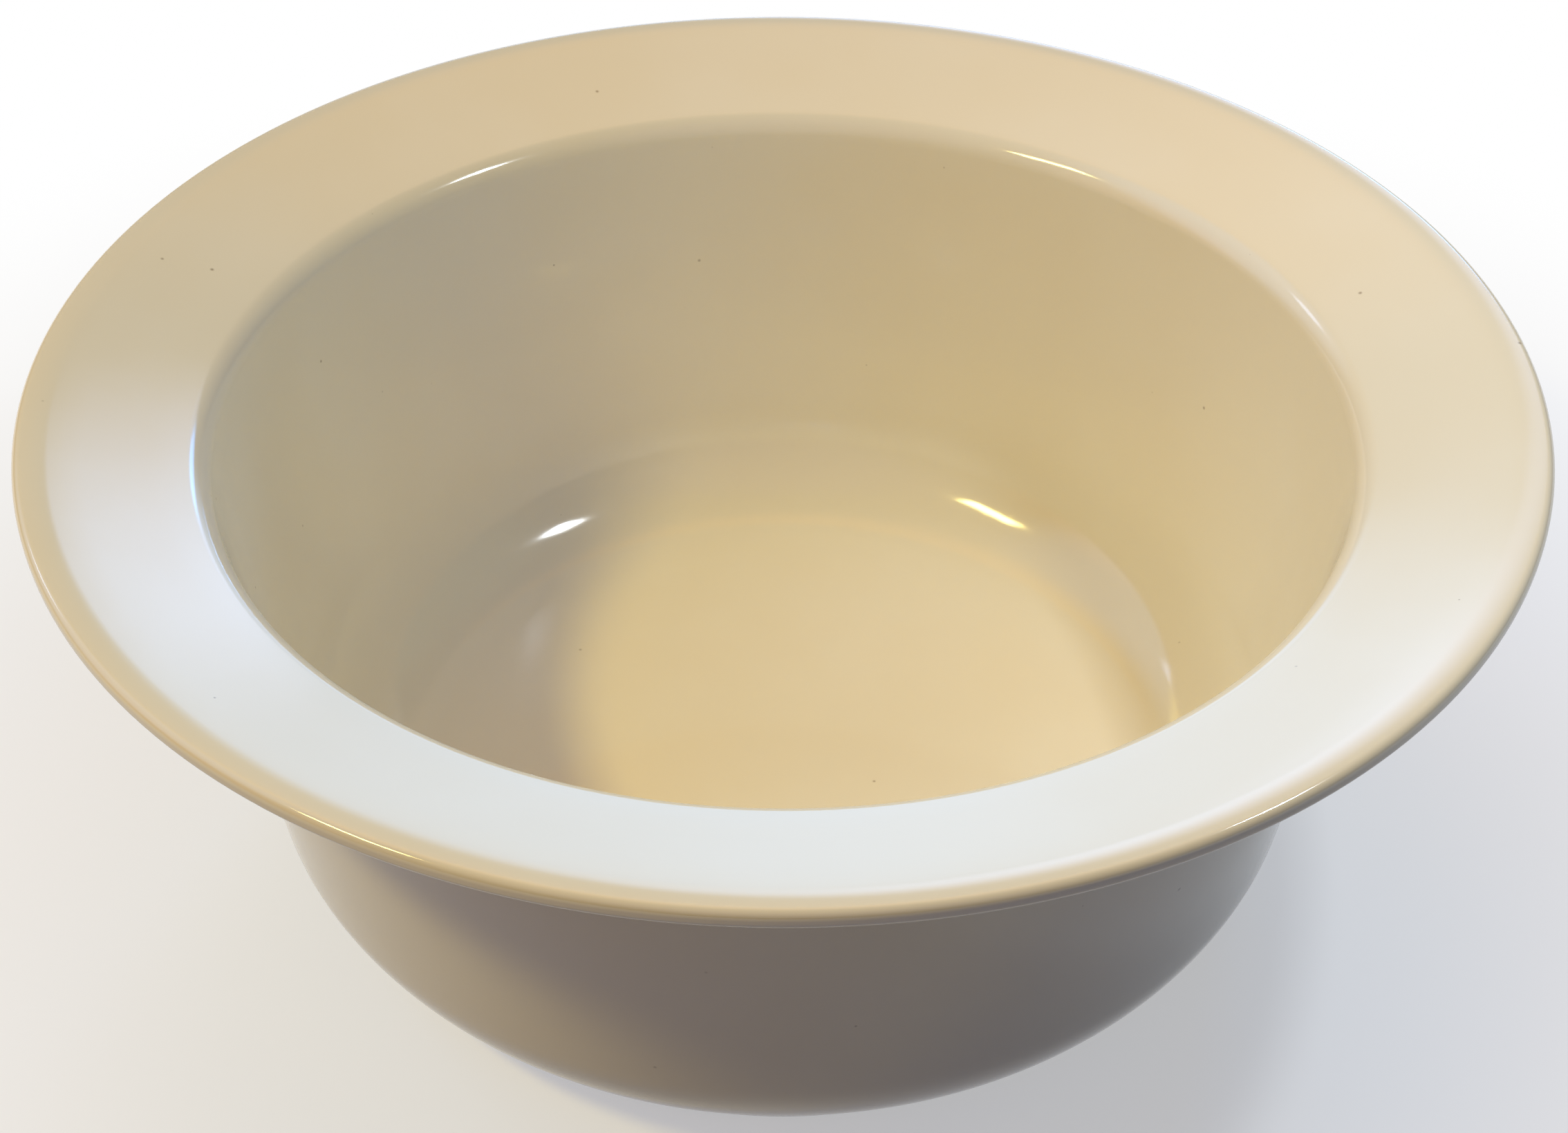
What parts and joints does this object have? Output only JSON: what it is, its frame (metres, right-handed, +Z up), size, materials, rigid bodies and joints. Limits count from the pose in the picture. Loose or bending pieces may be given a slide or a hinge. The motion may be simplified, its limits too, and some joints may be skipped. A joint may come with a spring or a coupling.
{
  "type": "serving bowl",
  "caption": "Round glazed earthenware serving bowl with steep walls, a wide dished flange with a rounded lip, and a low foot ring, for serving food at the table.",
  "frame": {"origin": "on the table under the middle of the bowl", "axes": "+Z up along the axis that the bowl is turned about; the bowl is round, so X and Y are free"},
  "size_m": [0.27, 0.27, 0.104],
  "materials": {
    "fired_clay": "bare fired clay, fine and matt",
    "ivory_glaze": "ivory white glaze, glossy, with sparse fine specks"
  },
  "bodies": {
    "root": {"clay_body": "fired_clay", "inner_glaze": "ivory_glaze", "outer_glaze": "ivory_glaze", "base_glaze": "ivory_glaze"}
  },
  "joints": []
}
